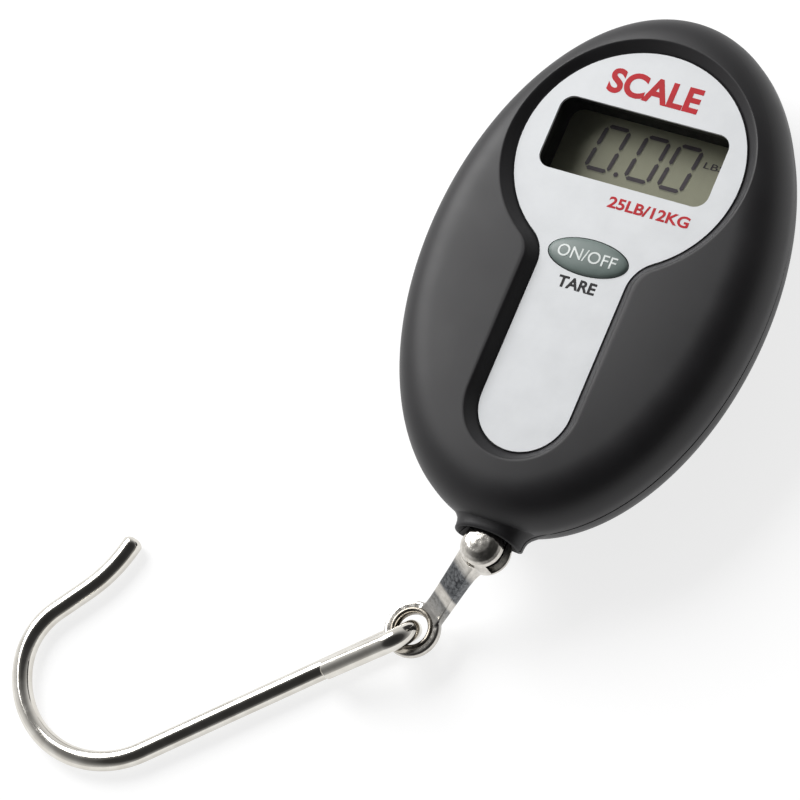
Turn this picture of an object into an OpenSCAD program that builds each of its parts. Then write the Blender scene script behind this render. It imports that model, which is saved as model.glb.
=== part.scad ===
// Digital fish scale: an oval hand-held body with a deep-set display, and a wire hook on a swinging link.
// The body lies on its back. +X runs across the display, +Y to the body's top, +Z out of the face.
// The origin is the centre of the oval on the plane that the back rests on.

/* [Body] */
// Width of the oval body
body_w = 57; // [56.6:0.2:58.2]
// Length of the oval body without its nozzle
body_l = 85.8; // [85.4:0.2:88]
// Height of the part line above the rest plane
seam_z = 12; // [11.8:0.1:12.6]
// Height of the front dome above the part line
front_rise = 8.4; // [8:0.1:8.6]
// Width of the rounded border of the front
front_round = 9; // [8.5:0.5:10]
// Width of the rounded border of the back
rear_round = 15; // [14:0.5:15.5]
// Thickness of the covers
wall = 2; // [1.8:0.1:2.2]
// Width of the shadow gap at the part line
seam_gap = 0.5; // [0.3:0.1:0.6]

/* [Face] */
// Half width of the round head of the label
label_r = 18.5; // [18.2:0.1:18.8]
// Width of the label's lower strip
strip_w = 15; // [14:0.2:16]
// Height of the label's surface above the rest plane
label_z = 18.8; // [18.6:0.1:18.9]
// Thickness of the label
label_t = 0.5; // [0.3:0.1:0.6]
// Width of the display window
window_w = 28.9; // [28:0.1:29.5]
// Height of the display window
window_h = 12.2; // [11.8:0.1:12.6]
// Depth of the display's picture below the label
display_depth = 6.2; // [6:0.1:6.4]

/* [Button] */
// Width of the oval button
button_w = 13.4; // [12.8:0.1:13.8]
// Height of the oval button
button_h = 5.7; // [5.4:0.1:6]
// Travel of the button
button_travel = 0.5; // [0.4:0.05:0.6]

/* [Hook] */
// Diameter of the hook's wire
wire_d = 3.2; // [3:0.1:3.2]
// Length of the straight shank
shank = 43.5; // [38:0.5:48]
// Radius of the bend's first, wide arc
bend_r = 15.4; // [14:0.2:18]
// Radius of the bend's second, tight arc
throat_r = 11; // [10:0.2:13]
// Heading of the shank at rest, from straight down towards -X
hook_angle = 47; // [40:1:52]

/* [Link] */
// Distance from the swing pin to the ring's centre
link_len = 16.5; // [16:0.1:18]
// Angle of the link at rest, from straight down towards -X
link_angle = 34.5; // [28:0.5:38]
// Outer diameter of the link's ring
ring_d = 9; // [8.8:0.1:9.2]
// Diameter of the clear hole in the eyelet
eyelet_d = 5.2; // [5.2:0.1:5.4]

/* [Hidden] */

$fn = 64;
eps = 0.01;               // overlap that makes a cut or a union clean
fit = 0.05;               // radial running fit of a pin or a plunger
slack = 0.3;              // clearance between parts that only pass each other

label_y = 17.3;           // centre of the label's round head
head_squash = 0.962;      // the round head is slightly wider than it is high
strip_end_y = -24.2;      // centre of the lower strip's round end
neck_fillet = 6;          // fillet between the head and the strip
floor_t = 1.6;            // the covers' thickness under the label
floor_z = label_z - label_t;
window_y = 18.9;
picture_z = label_z - display_depth;
panel = [31.6, 15.5, 2];    // the display's glass
board_t = 1.6;
board_top = picture_z - panel[2] - 1.5;
board_z = board_top - board_t;
button_y = 0.6;
button_proud = 0.6;
switch_top = board_top + 3.5;
post_xy = [[-9.5, 30.7], [9.5, 30.7], [-13.5, -3], [13.5, -3]];
case_xy = [[0, 36], [-21.5, 4], [21.5, 4], [-17, -22], [17, -22]];
case_boss_r = 3;
head_z = 2.6;             // where the case screws' heads sit

nozzle_z = 12.2;          // height of the pull line
swing_y = -45.6;          // the swing pin
nozzle_end = -44.5;
nozzle_bore_xz = [10, 6.4];
nozzle_wall = 1.3;        // around the passage, behind the lip
nozzle_lip = 1.8;         // around the passage, at the open end
cell_xyz = [26, 24, 8];   // the load cell's block
cell_y = -32;             // its lower edge
cell_hole_x = 10.9;
cell_hole_y = cell_y + cell_xyz[1] - 2.6;
tongue_t = 2;
tongue_r = 2.4;
pin_r = 1.5;

door_y = 12;
door_r = 11.5;
door_t = 1.6;
tab_r = 12.4;             // reach of the door's two bayonet tabs
tab_z = 1;                // their underside
tab_angle = 24;
door_turn = 45;           // from locked to open
coin_r = 10;
coin_t = 3.2;
coin_z = door_t + 0.6;
cup_r = coin_r + 2.3;
cup_top = coin_z + coin_t + 1.2;

head_r = 3.7;
head_h = 5.8;
arm_w = 4;
ring_z = 4.4;             // height of the ring's middle
ring_t = 1.4;
ring_bore = eyelet_d / 2 + 0.35;
flange_r = 3.4;
flange_t = 0.2;
ring_xy = [-link_len * sin(link_angle), swing_y - link_len * cos(link_angle)];

wire_r = wire_d / 2;
loop_r = 3.2;             // radius of the fold through the eyelet
loop_offset = 0.15;       // how far the wire stands off the ring's centre
loop_lean = 29;           // lean of the fold's plane from upright
tail_slope = 16;          // how steeply the tail comes down onto the shank
bend_turn = 118.5;
throat_turn = 51;
leg = 5.6;                // straight part between the throat and the flared tip
flare_r = 23;
flare_turn = 26;
tip_chamfer = 0.7;
fold_centre = [loop_offset + loop_r, 0, 0];

// ---- shared shapes ----

// Flat oval of the body's outline, shrunk by inset.
module oval(inset) {
    scale([1, (body_l / 2 - inset) / (body_w / 2 - inset)]) circle(r = body_w / 2 - inset, $fn = 80);
}

// Half of the pebble above z = 0, shrunk inwards by t. The border rounds over the width edge.
module half_pebble(rise, edge, t) {
    steps = 8;
    hull() for (k = [0:steps]) {
        angle = 90 * k / steps;
        translate([0, 0, (rise - t) * sin(angle) - (k == 0 ? 0 : eps)])
            linear_extrude(eps) oval(t + edge * (1 - cos(angle)));
    }
}

// Keyhole outline of the label, grown by d.
module label_outline(d) {
    offset(r = d) offset(r = -neck_fillet, $fn = 96) offset(r = neck_fillet, $fn = 96) union() {
        translate([0, label_y]) scale([1, head_squash]) circle(r = label_r, $fn = 96);
        translate([0, strip_end_y]) circle(d = strip_w, $fn = 96);
        translate([-strip_w / 2, strip_end_y]) square([strip_w, label_y - strip_end_y]);
    }
}

module rounded_rect(w, h, r) {
    union() {
        translate([-w / 2 + r, -h / 2]) square([w - 2 * r, h]);
        translate([-w / 2, -h / 2 + r]) square([w, h - 2 * r]);
        for (x = [-1, 1], y = [-1, 1]) translate([x * (w / 2 - r), y * (h / 2 - r)]) circle(r = r);
    }
}

module window_outline(d) {
    translate([0, window_y]) rounded_rect(window_w + 2 * d, window_h + 2 * d, 2.2);
}

module oval_button(d) {
    translate([0, button_y]) scale([1, (button_h + 2 * d) / (button_w + 2 * d)]) circle(d = button_w + 2 * d);
}

// A straight rod from p to q.
module rod(p, q, r) {
    v = q - p;
    translate(p) rotate([0, acos(v[2] / norm(v)), atan2(v[1], v[0])]) cylinder(h = norm(v), r = r, $fn = 32);
}

// A screw with its head at the top of z = 0 and its shank below.
module screw(head_d, head_h, shank_d, length) {
    difference() {
        union() {
            translate([0, 0, -head_h]) cylinder(d = head_d, h = head_h);
            translate([0, 0, -head_h - length]) cylinder(d = shank_d, h = length + eps);
        }
        for (a = [0, 90]) rotate(a) translate([-head_d * 0.3, -head_d * 0.07, -head_h * 0.6])
            cube([head_d * 0.6, head_d * 0.14, head_h]);
    }
}

// Cross-section of the spout, grown by d around its passage.
module nozzle_outline(d) {
    rounded_rect(nozzle_bore_xz[0] + 2 * d, nozzle_bore_xz[1] + 2 * d, 2.6 + d);
}

// The flared spout that the link hangs from, between two heights. It is open at its end.
module nozzle(z0, z1) {
    intersection() {
        translate([-15, nozzle_end - 1, z0]) cube([30, 20, z1 - z0]);
        translate([0, 0, nozzle_z]) rotate([-90, 0, 0]) union() {
            translate([0, 0, nozzle_end + 1]) linear_extrude(11) nozzle_outline(nozzle_wall);
            translate([0, 0, nozzle_end]) linear_extrude(1.2) nozzle_outline(nozzle_lip);
        }
    }
}

// The passage through the nozzle, with room for the tongue and the link's head.
module nozzle_bore() {
    translate([0, 0, nozzle_z]) rotate([-90, 0, 0]) translate([0, 0, nozzle_end - 1])
        linear_extrude(12) nozzle_outline(0);
}

// ---- body ----

module front_cover() {
    color("#2e2d2e") difference() {
        union() {
            difference() {
                union() {
                    translate([0, 0, seam_z]) half_pebble(front_rise, front_round, 0);
                    nozzle(seam_z, 2 * nozzle_z);
                }
                difference() {
                    translate([0, 0, seam_z - eps]) half_pebble(front_rise, front_round, wall);
                    translate([0, 0, floor_z - floor_t]) linear_extrude(9) label_outline(1.6);
                    for (p = concat(post_xy, case_xy)) translate([p[0], p[1], seam_z - 1])
                        cylinder(r = case_boss_r, h = 9);
                }
                translate([0, 0, seam_z - eps]) linear_extrude(seam_gap / 2 + eps) difference() {
                    oval(-9);
                    oval(0.9);
                }
            }
            for (p = post_xy) translate([p[0], p[1], board_top])
                cylinder(r = 2, h = floor_z - board_top - 0.5);
        }
        translate([0, 0, floor_z]) linear_extrude(9) label_outline(0.15);
        for (k = [1:3]) translate([0, 0, floor_z + 0.45 * k]) linear_extrude(9) label_outline(0.15 + 0.6 * k);
        translate([0, 0, floor_z - 5]) linear_extrude(9) window_outline(0.4);
        translate([0, 0, floor_z - 1]) linear_extrude(3) window_outline(2.2);
        translate([0, 0, floor_z - 5]) linear_extrude(9) oval_button(0.25);
        for (p = post_xy) translate([p[0], p[1], board_top - 1]) cylinder(r = 0.82, h = 5);
        for (p = case_xy) translate([p[0], p[1], seam_z - 1]) cylinder(r = 1.07, h = 5);
        nozzle_bore();
    }
}

module rear_cover() {
    color("#2b2a2b") difference() {
        union() {
            difference() {
                union() {
                    translate([0, 0, seam_z]) mirror([0, 0, 1]) half_pebble(seam_z, rear_round, 0);
                    nozzle(0, seam_z);
                }
                difference() {
                    translate([0, 0, seam_z + eps]) mirror([0, 0, 1]) half_pebble(seam_z, rear_round, wall);
                    translate([0, door_y, 0]) cylinder(r = cup_r, h = cup_top);
                    for (p = case_xy) translate([p[0], p[1], 0]) cylinder(r = case_boss_r, h = seam_z - 1);
                    for (x = [-1, 1]) translate([x * cell_hole_x, cell_hole_y, 0])
                        cylinder(r = 2.6, h = nozzle_z - cell_xyz[2] / 2);
                }
                translate([0, 0, seam_z - seam_gap / 2]) linear_extrude(seam_gap) difference() {
                    oval(-9);
                    oval(0.9);
                }
            }
            for (p = case_xy) translate([p[0], p[1], seam_z - 2]) cylinder(r = case_boss_r, h = 2);
        }
        translate([0, door_y, coin_z - 0.6]) cylinder(r = coin_r + 0.3, h = coin_t + 1.2);
        translate([0, door_y, -eps]) cylinder(r = door_r + fit, h = door_t + 2 * eps);
        translate([0, door_y, door_t - 0.2]) cylinder(r = coin_r + 1, h = 0.9);
        translate([0, door_y, tab_z - fit]) cylinder(r = tab_r + 0.2, h = door_t - tab_z + 2 * fit);
        translate([0, door_y, -eps]) rotate(-door_turn) linear_extrude(tab_z)
            tabs(tab_r + 0.2, tab_angle + 4);
        translate([coin_r - 1.2, door_y - 2.2, coin_z]) cube([2.2, 4.4, cup_top]);
        for (p = case_xy) translate([p[0], p[1], 0]) {
            translate([0, 0, -eps]) cylinder(r = 2.5, h = head_z + 1.8 + 2 * eps);
            cylinder(r = 1.3, h = 20);
        }
        for (x = [-1, 1]) translate([x * cell_hole_x, cell_hole_y, 2.4]) cylinder(r = 1.12, h = 10);
        nozzle_bore();
    }
}

module case_screws() {
    color("#8d8f92") for (p = case_xy) translate([p[0], p[1], head_z]) mirror([0, 0, 1])
        screw(4.6, 1.8, 2.1, seam_z + 3 - head_z - 1.8);
}

module face_label() {
    color("#d4d6d6") translate([0, 0, floor_z]) linear_extrude(label_t) difference() {
        label_outline(0);
        window_outline(0);
        oval_button(0.15);
    }
}

// ---- display ----

module display_window() {
    color("#dfe6e2") translate([0, 0, floor_z - 1]) linear_extrude(1) window_outline(2.1);
}

module display_holder() {
    color("#1b1b1c") translate([0, window_y, 0]) difference() {
        translate([0, 0, picture_z - panel[2]]) linear_extrude(floor_z - floor_t - picture_z + panel[2])
            rounded_rect(panel[0] + 1.4, panel[1] + 1.4, 3);
        translate([0, 0, picture_z - panel[2] - 1]) linear_extrude(panel[2] + 1)
            square([panel[0], panel[1]], center = true);
        linear_extrude(30) rounded_rect(window_w + 0.8, window_h + 0.8, 2.2);
    }
}

module display_panel() {
    color("#9a9a82") translate([-panel[0] / 2, window_y - panel[1] / 2, picture_z - panel[2]]) cube(panel);
}

module display_connectors() {
    color("#c9a8a8") for (y = [-1, 1])
        translate([-14, window_y + y * (panel[1] / 2 - 1.4) - 1, board_top])
            cube([28, 2, picture_z - panel[2] - board_top]);
}

// ---- circuit ----

module circuit_board() {
    color("#2f6b3c") translate([0, 0, board_z]) linear_extrude(board_t) difference() {
        polygon([[-17, -6], [17, -6], [17, 24], [12.8, 32.4], [-12.8, 32.4], [-17, 24]]);
        for (p = post_xy) translate([p[0], p[1]]) circle(r = 1.1);
    }
}

module board_screws() {
    color("#b9bbbe") for (p = post_xy) translate([p[0], p[1], board_z - 1.2]) mirror([0, 0, 1])
        screw(3.6, 1.2, 1.6, 5.2);
}

module controller() {
    color("#17171a") translate([-11.6, 24.4, board_z]) intersection() {
        translate([0, 0, -1.1]) cylinder(r = 3.2, h = 1.1);
        translate([0, 0, 4.5]) sphere(r = 5.6, $fn = 96);
    }
}

module clock_crystal() {
    color("#c8cacc") translate([10, 26.4, board_z - 1]) rotate([90, 0, 90]) union() {
        cylinder(d = 2, h = 4.6);
        for (x = [-0.4, 0.4]) translate([x, 0, -1.4]) cylinder(r = 0.15, h = 1.5);
    }
}

module switch_body() {
    color("#3b3b3e") translate([0, button_y, board_top]) difference() {
        translate([-3, -3, 0]) cube([6, 6, switch_top - board_top]);
        translate([0, 0, 1.6]) cylinder(r = 1.7 + fit, h = 5);
    }
}

module switch_plunger() {
    color("#c9c6b8") translate([0, button_y, board_top + 1.6 + button_travel + 0.1])
        cylinder(r = 1.7, h = 3.2);
}

module button() {
    plunger_top = board_top + 1.6 + button_travel + 0.1 + 3.2;
    color("#6f7d78") union() {
        translate([0, 0, floor_z - floor_t - 0.2])
            linear_extrude(label_z + button_proud - floor_z + floor_t - 0.2) oval_button(0);
        translate([0, 0, label_z + button_proud - 0.5]) linear_extrude(0.5) oval_button(-0.5);
        translate([0, 0, floor_z - floor_t - 1.2]) linear_extrude(1.15) oval_button(1.2);
        translate([0, button_y, plunger_top]) cylinder(r = 1.7, h = floor_z - plunger_top);
    }
}

// ---- load cell ----

// An S beam: two side slots and a double bore make the middle bar bend when the tongue is pulled.
module load_cell() {
    slot_h = 2.4;
    mid_y = cell_y + cell_xyz[1] / 2;
    color("#b6b9bc") difference() {
        union() {
            translate([-cell_xyz[0] / 2, cell_y, nozzle_z - cell_xyz[2] / 2]) cube(cell_xyz);
            translate([-tongue_r, swing_y, nozzle_z - tongue_t / 2])
                cube([2 * tongue_r, cell_y - swing_y + 1, tongue_t]);
            translate([0, swing_y, nozzle_z - tongue_t / 2]) cylinder(r = tongue_r, h = tongue_t);
        }
        translate([-cell_xyz[0] / 2 - 1, mid_y + 4.4, 0]) cube([cell_xyz[0] - 3, slot_h, 30]);
        translate([-cell_xyz[0] / 2 + 4, mid_y - 4.4 - slot_h, 0]) cube([cell_xyz[0], slot_h, 30]);
        for (x = [-3.6, 3.6]) translate([x, mid_y, 0]) cylinder(r = 3.4, h = 30);
        translate([-3.6, mid_y - 1.5, 0]) cube([7.2, 3, 30]);
        for (x = [-1, 1]) translate([x * cell_hole_x, cell_hole_y, 0]) cylinder(r = 1.2, h = 30);
        translate([0, swing_y, 0]) cylinder(r = pin_r + fit, h = 30);
    }
}

module strain_gauges() {
    mid_y = cell_y + cell_xyz[1] / 2;
    color("#d9a441") for (x = [-1, 1], y = [-1, 1])
        translate([x * 3.6 - 1.8, mid_y + y * 4.55 - 0.15, nozzle_z - 2]) cube([3.6, 0.3, 4]);
}

module load_cell_screws() {
    color("#b9bbbe") for (x = [-1, 1])
        translate([x * cell_hole_x, cell_hole_y, nozzle_z + cell_xyz[2] / 2 + 1.6]) screw(3.4, 1.6, 2.2, 12);
}

// Four thin leads from the gauges' side of the block to the board's lower edge.
module gauge_wires() {
    for (k = [0:3]) {
        x = -3 + 2 * k;
        start = [x, cell_y + cell_xyz[1] - 1, nozzle_z - cell_xyz[2] / 2 - 0.5];
        turn = [x, -7.6, board_z - 0.9];
        tie = [x, -4.4, board_z - 0.9];
        pad = [x, -4.4, board_z];
        color(["#b02a20", "#20201f", "#d8d8d4", "#2f7a3d"][k]) union() {
            rod(start, turn, 0.4);
            rod(turn, tie, 0.4);
            rod(tie, pad, 0.4);
            for (p = [turn, tie]) translate(p) sphere(r = 0.43, $fn = 32);
        }
    }
}

// ---- battery ----

module coin_cell() {
    color("#c6c8ca") translate([0, door_y, coin_z]) union() {
        cylinder(r = coin_r, h = coin_t - 0.5);
        cylinder(r = coin_r - 1.2, h = coin_t);
    }
}

module contact_negative() {
    top = coin_z + coin_t + 0.6;
    color("#cfa95c") translate([0, door_y, 0]) union() {
        translate([-7, -2, top - 0.35]) cube([14, 4, 0.3]);
        translate([-2.5, -2, top - 0.6]) cube([5, 4, 0.3]);
    }
}

module contact_positive() {
    color("#cfa95c") translate([coin_r + 0.1, door_y - 2, coin_z + 0.1])
        cube([0.4, 4, board_z - coin_z - 0.1]);
}

module door_seal() {
    color("#161616") translate([0, door_y, door_t + 0.3]) rotate_extrude()
        translate([coin_r + 0.5, 0]) circle(r = 0.28);
}

// Two sectors that face each other across the door's centre.
module tabs(r, angle) {
    intersection() {
        circle(r = r);
        union() for (s = [0, 180]) rotate(s)
            polygon([[0, 0], [2 * r, -2 * r * tan(angle / 2)], [2 * r, 2 * r * tan(angle / 2)]]);
    }
}

// A round door with a coin slot. It turns by door_turn to bring its tabs to the gaps in the cover's lip.
module battery_door() {
    color("#2b2a2b") translate([0, door_y, 0]) difference() {
        union() {
            cylinder(r = door_r, h = door_t);
            translate([0, 0, tab_z]) linear_extrude(door_t - tab_z) tabs(tab_r, tab_angle);
            cylinder(r = coin_r - 2, h = coin_z - fit);
        }
        translate([-7, -0.9, -eps]) cube([14, 1.8, 0.9]);
    }
}

// ---- link and hook ----

// The link's own frame: the pin at the origin, the arm along -Y.
module link_arm_station(y, z, w, t) {
    translate([-w / 2, y - 0.3, z - t / 2]) cube([w, 0.6, t]);
}

module link() {
    color("#b9b6b0") translate([0, swing_y, 0]) rotate(-link_angle) difference() {
        union() {
            translate([0, 0, nozzle_z - head_h / 2]) cylinder(r = head_r, h = head_h);
            hull() {
                link_arm_station(-2.6, nozzle_z - 0.5, 4.8, 4.6);
                link_arm_station(-5.4, nozzle_z - 2, arm_w, 2.8);
            }
            hull() {
                link_arm_station(-5.4, nozzle_z - 2, arm_w, 2.8);
                link_arm_station(-link_len + ring_d / 2 - 0.9, ring_z, arm_w, ring_t);
            }
            translate([0, -link_len, ring_z - ring_t / 2]) cylinder(d = ring_d, h = ring_t);
        }
        translate([0, 0, nozzle_z - tongue_t / 2 - slack])
            cylinder(r = tongue_r + slack, h = tongue_t + 2 * slack);
        translate([-10, -1.4, nozzle_z - tongue_t / 2 - slack]) cube([20, 10, tongue_t + 2 * slack]);
        translate([0, 0, nozzle_z - head_h / 2 + 0.8]) cylinder(r = pin_r, h = head_h - 1.6);
        translate([0, -link_len, ring_z - 2]) cylinder(r = ring_bore, h = 4);
    }
}

module swing_pin() {
    color("#9b9b9b") translate([0, swing_y, nozzle_z - head_h / 2 + 0.8])
        cylinder(r = pin_r, h = head_h - 1.6);
}

// A tube rolled over the ring's two faces, free to turn in it.
module eyelet() {
    half = ring_t / 2 + fit;
    color("#cfccc4") translate([ring_xy[0], ring_xy[1], ring_z]) rotate_extrude() union() {
        translate([eyelet_d / 2, -half]) square([ring_bore - fit - eyelet_d / 2, 2 * half]);
        for (s = [-1, 1]) translate([eyelet_d / 2 + 0.15, s * (half + flange_t / 2) - flange_t / 2])
            square([flange_r - eyelet_d / 2 - 0.15, flange_t]);
    }
}

// A station of the wire: [centre, direction, side, radius]. side is at a right angle to direction.

// The fold through the eyelet, at angle a back from the start of the shank.
function fold_station(a) = let (
        up = [0, sin(loop_lean), cos(loop_lean)],
        out = cross([1, 0, 0], up),
        dir = cos(a) * [1, 0, 0] - sin(a) * up,
        side = sin(loop_lean) * out - cos(loop_lean) * cross(dir, out))
    [fold_centre - loop_r * (sin(a) * [1, 0, 0] + cos(a) * up), dir, side, wire_r];

// The flat part of the hook, which lies in one plane: at a place, with a heading in degrees.
function flat_station(place, heading, r = wire_r) = [place, [cos(heading), sin(heading), 0], [0, 0, 1], r];

// The place after an arc that turns right by a, or left if radius and a are negative.
function arc_end(place, heading, radius, a) = place + radius * [sin(heading) - sin(heading - a),
                                                                cos(heading - a) - cos(heading), 0];

function arc_stations(place, heading, radius, turn, steps) =
    [for (k = [1:steps]) let (a = turn * k / steps)
        flat_station(arc_end(place, heading, radius, a), heading - a)];

function along(place, heading, l) = place + l * [cos(heading), sin(heading), 0];

// A round solid through the stations.
module sweep(stations, sides) {
    n = len(stations);
    points = [for (s = stations, k = [0:sides - 1]) let (a = 360 * k / sides)
        s[0] + s[3] * (cos(a) * s[2] + sin(a) * cross(s[1], s[2]))];
    start_cap = [for (k = [0:sides - 1]) k];
    end_cap = [for (k = [0:sides - 1]) n * sides - 1 - k];
    walls = [for (i = [0:n - 2], k = [0:sides - 1], half = [0, 1]) let (
            p = i * sides + k, q = i * sides + (k + 1) % sides)
        half == 0 ? [p, p + sides, q] : [q, p + sides, q + sides]];
    polyhedron(points, concat([start_cap], walls, [end_cap]));
}

// The hook's own frame: the origin at the ring's centre, the shank along +X, the bend to its right.
// One wire runs from the tail's end, which lies on the shank, through the fold and along to the tip.
module hook() {
    fold_end = fold_station(180 + tail_slope);
    tail_drop = loop_r * (1 + cos(tail_slope)) - wire_d - 0.04;
    tail_end = [fold_end[0] - tail_drop / sin(tail_slope) * fold_end[1], fold_end[1], fold_end[2], wire_r];
    start = fold_station(0)[0];
    bend_start = along(start, 0, shank);
    throat_start = arc_end(bend_start, 0, bend_r, bend_turn);
    leg_start = arc_end(throat_start, -bend_turn, throat_r, throat_turn);
    leg_heading = -bend_turn - throat_turn;
    flare_start = along(leg_start, leg_heading, leg);
    flare_end = arc_end(flare_start, leg_heading, -flare_r, -flare_turn);
    tip_heading = leg_heading + flare_turn;
    color("#c9c5bb") translate([ring_xy[0], ring_xy[1], ring_z]) rotate(-90 - hook_angle) sweep(concat(
        [tail_end],
        [for (k = [0:16]) fold_station((180 + tail_slope) * (1 - k / 16))],
        [flat_station(bend_start, 0)],
        arc_stations(bend_start, 0, bend_r, bend_turn, 14),
        arc_stations(throat_start, -bend_turn, throat_r, throat_turn, 6),
        [flat_station(flare_start, leg_heading)],
        arc_stations(flare_start, leg_heading, -flare_r, -flare_turn, 4),
        [flat_station(along(flare_end, tip_heading, tip_chamfer), tip_heading, wire_r - tip_chamfer)]
    ), 24);
}

front_cover();
rear_cover();
face_label();
display_window();
display_holder();
display_panel();
display_connectors();
circuit_board();
controller();
clock_crystal();
switch_body();
switch_plunger();
button();
board_screws();
load_cell();
strain_gauges();
gauge_wires();
load_cell_screws();
coin_cell();
contact_negative();
contact_positive();
door_seal();
battery_door();
case_screws();
link();
swing_pin();
eyelet();
hook();
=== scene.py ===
import math
import bmesh
import bpy
from mathutils import Matrix, Vector, noise


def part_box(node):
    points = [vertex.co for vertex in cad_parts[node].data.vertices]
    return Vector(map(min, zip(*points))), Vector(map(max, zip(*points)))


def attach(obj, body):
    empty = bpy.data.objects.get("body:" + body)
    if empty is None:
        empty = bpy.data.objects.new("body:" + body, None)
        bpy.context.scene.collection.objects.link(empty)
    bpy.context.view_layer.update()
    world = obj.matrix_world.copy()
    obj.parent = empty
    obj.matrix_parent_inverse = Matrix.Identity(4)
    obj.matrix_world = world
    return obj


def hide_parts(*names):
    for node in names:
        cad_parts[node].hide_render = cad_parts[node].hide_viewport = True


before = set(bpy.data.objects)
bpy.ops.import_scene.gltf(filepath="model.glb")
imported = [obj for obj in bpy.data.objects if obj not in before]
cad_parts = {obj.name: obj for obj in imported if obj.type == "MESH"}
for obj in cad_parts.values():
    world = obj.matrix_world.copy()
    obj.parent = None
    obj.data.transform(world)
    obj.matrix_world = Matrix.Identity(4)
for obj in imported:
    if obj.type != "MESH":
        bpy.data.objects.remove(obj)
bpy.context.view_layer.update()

# ---- front cover ----
# The front half of the oval body: black ABS, injection moulded, with a thin soft-touch paint.
# One domed wall with a rounded border, a sunk pocket for the label, a window, a button opening and
# half of the spout. Five screws from the back hold it to the rear cover.

MM = 0.001
HALF_WIDTH, HALF_LENGTH = 28.5, 42.9          # of the oval at the part line
SEAM_Z = 12.0                                 # the part line, above the floor
SHADOW_GAP, LIP_INSET = 0.33, 1.2             # half height and depth of the groove along it
WALL = 2.0
LABEL_Z, POCKET_Z = 18.8, 18.3
HEAD_Y, HEAD_RX, HEAD_RY = 17.3, 18.5, 17.8   # round head of the label
STRIP_HALF, STRIP_END = 7.5, -24.2            # its lower strip
NECK_FILLET = 6.0
SPOUT_Z = 12.2


def linear(code):
    """An sRGB hex colour as a linear RGBA tuple."""
    parts = [int(code[i:i + 2], 16) / 255 for i in (0, 2, 4)]
    return tuple(p / 12.92 if p <= 0.04045 else ((p + 0.055) / 1.055) ** 2.4 for p in parts) + (1.0,)


def add(tree, kind, links=None, values=None, **settings):
    """A new node with its settings, its typed values and its incoming links."""
    node = tree.nodes.new(kind)
    for key, value in settings.items():
        setattr(node, key, value)
    for key, value in (values or {}).items():
        node.inputs[key].default_value = value
    for key, socket in (links or {}).items():
        tree.links.new(socket, node.inputs[key])
    return node


def finish_of(name, colour, roughness, **sockets):
    """A material with one Principled shader. Returns it with its tree, its shader and its coordinates."""
    material = bpy.data.materials.new(name)
    material.use_nodes = True
    tree = material.node_tree
    tree.nodes.clear()
    shader = add(tree, "ShaderNodeBsdfPrincipled")
    shader.inputs["Base Color"].default_value = linear(colour)
    shader.inputs["Roughness"].default_value = roughness
    for key, value in sockets.items():
        shader.inputs[key.replace("_", " ")].default_value = value
    add(tree, "ShaderNodeOutputMaterial", {"Surface": shader.outputs[0]})
    where = add(tree, "ShaderNodeTexCoord").outputs["Object"]
    return material, tree, shader, where


def vary(tree, shader, where, colours, size, roughness):
    """Colour and roughness wander between two values over patches of a real size in millimetres."""
    patches = add(tree, "ShaderNodeTexNoise", {"Vector": where}, {"Scale": 1 / (size * MM), "Detail": 4.0})
    tint = add(tree, "ShaderNodeValToRGB", {"Fac": patches.outputs["Fac"]})
    tint.color_ramp.elements[0].position, tint.color_ramp.elements[1].position = 0.35, 0.65
    tint.color_ramp.elements[0].color, tint.color_ramp.elements[1].color = map(linear, colours)
    tree.links.new(tint.outputs["Color"], shader.inputs["Base Color"])
    sheen = add(tree, "ShaderNodeMapRange", {"Value": patches.outputs["Fac"]},
                {"From Min": 0.3, "From Max": 0.7, "To Min": roughness[0], "To Max": roughness[1]})
    tree.links.new(sheen.outputs["Result"], shader.inputs["Roughness"])


def grain(tree, shader, where, size, depth, strength, detail=2.0):
    """A fine bump of grains of a size and depth in millimetres."""
    grit = add(tree, "ShaderNodeTexNoise", {"Vector": where}, {"Scale": 1 / (size * MM), "Detail": detail})
    bump = add(tree, "ShaderNodeBump", {"Height": grit.outputs["Fac"]},
               {"Strength": strength, "Distance": depth * MM})
    tree.links.new(bump.outputs["Normal"], shader.inputs["Normal"])


def coat(piece, material):
    """Gives a piece one material all over."""
    piece.data.materials.clear()
    piece.data.materials.append(material)


def new_piece(name, mesh, material=None):
    """An object in the scene, from a mesh or a text."""
    piece = bpy.data.objects.new(name, mesh)
    bpy.context.scene.collection.objects.link(piece)
    if material:
        coat(piece, material)
    return piece


MERGE = 1e-7                                  # metres: points nearer than this are one point


def clean(mesh, merge=0.0):
    """Merges points that coincide and turns the faces outwards."""
    work = bmesh.new()
    work.from_mesh(mesh)
    if merge:
        bmesh.ops.remove_doubles(work, verts=work.verts, dist=merge)
    bmesh.ops.recalc_face_normals(work, faces=work.faces)
    work.to_mesh(mesh)
    work.free()


def mesh_of(name, points, faces):
    """A closed mesh from points in millimetres, with its faces turned outwards."""
    mesh = bpy.data.meshes.new(name)
    mesh.from_pydata([tuple(c * MM for c in p) for p in points], [], faces)
    clean(mesh, MERGE)
    return mesh


def loft(name, rings, closed=False):
    """A skin over rings that have the same number of points, capped or closed into a loop."""
    count = len(rings[0])
    points = [p for ring in rings for p in ring]
    pairs = [(k, k + 1) for k in range(len(rings) - 1)] + ([(len(rings) - 1, 0)] if closed else [])
    faces = [(a * count + i, a * count + (i + 1) % count, b * count + (i + 1) % count, b * count + i)
             for a, b in pairs for i in range(count)]
    if not closed:
        faces.append(tuple(reversed(range(count))))
        faces.append(tuple((len(rings) - 1) * count + i for i in range(count)))
    return mesh_of(name, points, faces)


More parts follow.
